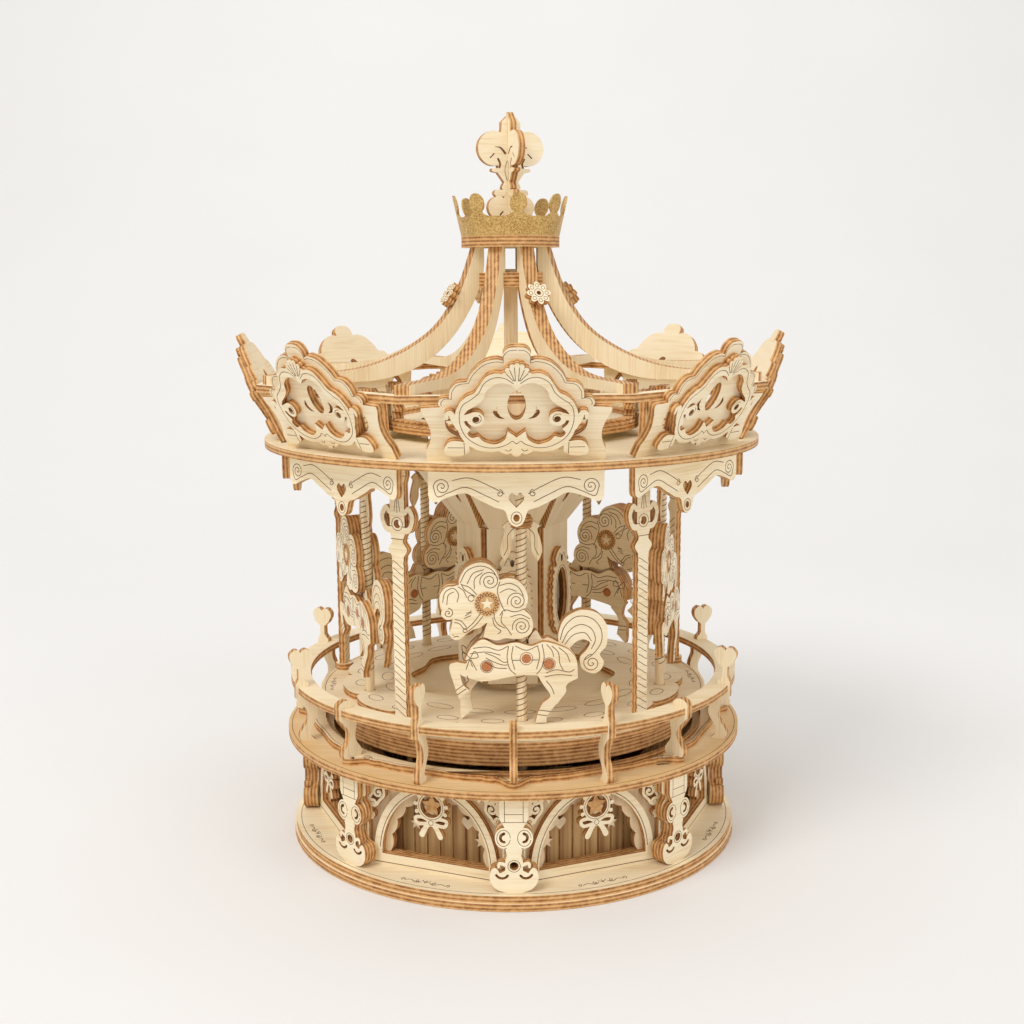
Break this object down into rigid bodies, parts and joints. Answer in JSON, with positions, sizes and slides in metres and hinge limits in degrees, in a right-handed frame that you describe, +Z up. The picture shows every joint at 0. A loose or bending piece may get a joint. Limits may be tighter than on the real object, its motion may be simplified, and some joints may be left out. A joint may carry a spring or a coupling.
{
  "type": "carousel music box",
  "caption": "Laser-cut plywood carousel music box: fretwork base, turning platform with horses on twisted poles, ribbed roof, gilt crown and wind-up movement.",
  "frame": {"origin": "centre of the base's underside", "axes": "+Z up along the carousel's axis, -Y towards the front horse, +X to its right"},
  "size_m": [0.2372, 0.2372, 0.3092],
  "materials": {
    "plywood": "laser-cut birch plywood, pale faces with burnt edges",
    "plywood_engraved": "laser-cut plywood with fine burnt engraving",
    "gilt_card": "speckled gold paper",
    "mirror_film": "polished silver film",
    "dowel": "turned birch dowel",
    "movement_steel": "brushed",
    "movement_brass": "satin",
    "gear_ply": "laser-cut plywood gear"
  },
  "bodies": {
    "base": {"base_plates": "plywood_engraved", "arch_panels": "plywood_engraved", "arch_liners": "plywood", "slat_wall": "plywood", "base_pilasters": "plywood_engraved", "medallions": "plywood_engraved", "rim_ring": "plywood_engraved", "lace_ring": "plywood_engraved", "scroll_brackets": "plywood_engraved", "heart_posts": "plywood_engraved", "handrail": "plywood", "drum_panels": "plywood_engraved", "drum_plates": "plywood", "drum_flare": "plywood_engraved", "mirror_frames": "plywood_engraved", "mirrors": "mirror_film", "centre_post": "dowel", "fixed_gear": "gear_ply", "movement_bed": "movement_steel", "comb": "movement_steel", "movement_screws": "movement_steel"},
    "carousel": {"deck": "plywood_engraved", "deck_lace": "plywood_engraved", "deck_skirt": "plywood", "deck_hub": "dowel", "drive_wheel": "gear_ply", "columns": "plywood_engraved", "column_collars": "plywood", "canopy_ring": "plywood", "valance_boards": "plywood_engraved", "crown_boards": "plywood_engraved", "crown_cartouches": "plywood_engraved", "crown_beam": "plywood", "roof_ribs": "plywood", "roof_hub": "plywood", "roof_flowers": "plywood_engraved", "crown_ring": "plywood", "crown_band": "gilt_card", "finial": "plywood_engraved", "crank_bearings": "plywood"},
    "arbor": {"drive_arbor": "movement_steel"},
    "barrel": {"spring_barrel": "movement_brass"},
    "cylinder": {"pinned_cylinder": "movement_brass"},
    "governor": {"governor_fly": "movement_steel"},
    "key": {"winding_key": "movement_brass"},
    "crank_1": {"crank_1": "gear_ply"},
    "horse_1": {"horse_1": "plywood_engraved", "horse_pole_1": "dowel"},
    "crank_2": {"crank_2": "gear_ply"},
    "horse_2": {"horse_2": "plywood_engraved", "horse_pole_2": "dowel"},
    "crank_3": {"crank_3": "gear_ply"},
    "horse_3": {"horse_3": "plywood_engraved", "horse_pole_3": "dowel"},
    "crank_4": {"crank_4": "gear_ply"},
    "horse_4": {"horse_4": "plywood_engraved", "horse_pole_4": "dowel"},
    "crank_5": {"crank_5": "gear_ply"},
    "horse_5": {"horse_5": "plywood_engraved", "horse_pole_5": "dowel"}
  },
  "joints": [
    {"name": "carousel_spin", "type": "hinge", "parent": "base", "child": "carousel", "pos_m": [0, 0, 0.0633], "axis": [0, 0, 1], "continuous": true},
    {"name": "arbor_spin", "type": "hinge", "parent": "base", "child": "arbor", "pos_m": [0.036, 0, 0.009], "axis": [0, 0, 1], "continuous": true},
    {"name": "barrel_spin", "type": "hinge", "parent": "base", "child": "barrel", "pos_m": [0.024, -0.02079, 0.012], "axis": [0, 0, 1], "continuous": true},
    {"name": "cylinder_spin", "type": "hinge", "parent": "base", "child": "cylinder", "pos_m": [0.05, 0, 0.024], "axis": [1, 0, 0], "continuous": true},
    {"name": "governor_spin", "type": "hinge", "parent": "base", "child": "governor", "pos_m": [0.025, 0.005, 0.015], "axis": [0, 0, 1], "continuous": true},
    {"name": "key_turn", "type": "hinge", "parent": "base", "child": "key", "pos_m": [0.024, -0.02079, 0.003], "axis": [0, 0, 1], "range_deg": [0, 1440]},
    {"name": "crank_1_spin", "type": "hinge", "parent": "carousel", "child": "crank_1", "pos_m": [0.00304, -0.05792, 0.19], "axis": [0.0523, -0.9986, 0], "continuous": true},
    {"name": "horse_1_slide", "type": "slide", "parent": "carousel", "child": "horse_1", "axis": [0, 0, 1], "range_m": [0, 0.009]},
    {"name": "crank_2_spin", "type": "hinge", "parent": "carousel", "child": "crank_2", "pos_m": [0.05602, -0.01501, 0.19], "axis": [0.9659, -0.2588, 0], "continuous": true},
    {"name": "horse_2_slide", "type": "slide", "parent": "carousel", "child": "horse_2", "axis": [0, 0, 1], "range_m": [-0.00814, 0.00086]},
    {"name": "crank_3_spin", "type": "hinge", "parent": "carousel", "child": "crank_3", "pos_m": [0.03159, 0.04864, 0.19], "axis": [0.5446, 0.8387, 0], "continuous": true},
    {"name": "horse_3_slide", "type": "slide", "parent": "carousel", "child": "horse_3", "axis": [0, 0, 1], "range_m": [-0.00311, 0.00589]},
    {"name": "crank_4_spin", "type": "hinge", "parent": "carousel", "child": "crank_4", "pos_m": [-0.0365, 0.04507, 0.19], "axis": [-0.6293, 0.7771, 0], "continuous": true},
    {"name": "horse_4_slide", "type": "slide", "parent": "carousel", "child": "horse_4", "axis": [0, 0, 1], "range_m": [-0.00311, 0.00589]},
    {"name": "crank_5_spin", "type": "hinge", "parent": "carousel", "child": "crank_5", "pos_m": [-0.05415, -0.02079, 0.19], "axis": [-0.9336, -0.3584, 0], "continuous": true},
    {"name": "horse_5_slide", "type": "slide", "parent": "carousel", "child": "horse_5", "axis": [0, 0, 1], "range_m": [-0.00814, 0.00086]}
  ],
  "couplings": [
    {"joint": "arbor_spin", "follows": "carousel_spin", "ratio": -5},
    {"joint": "barrel_spin", "follows": "carousel_spin", "ratio": 1.6667},
    {"joint": "cylinder_spin", "follows": "carousel_spin", "ratio": 2.5},
    {"joint": "governor_spin", "follows": "carousel_spin", "ratio": 20},
    {"joint": "crank_1_spin", "follows": "carousel_spin", "ratio": -7},
    {"joint": "crank_2_spin", "follows": "carousel_spin", "ratio": -7},
    {"joint": "crank_3_spin", "follows": "carousel_spin", "ratio": -7},
    {"joint": "crank_4_spin", "follows": "carousel_spin", "ratio": -7},
    {"joint": "crank_5_spin", "follows": "carousel_spin", "ratio": -7}
  ]
}
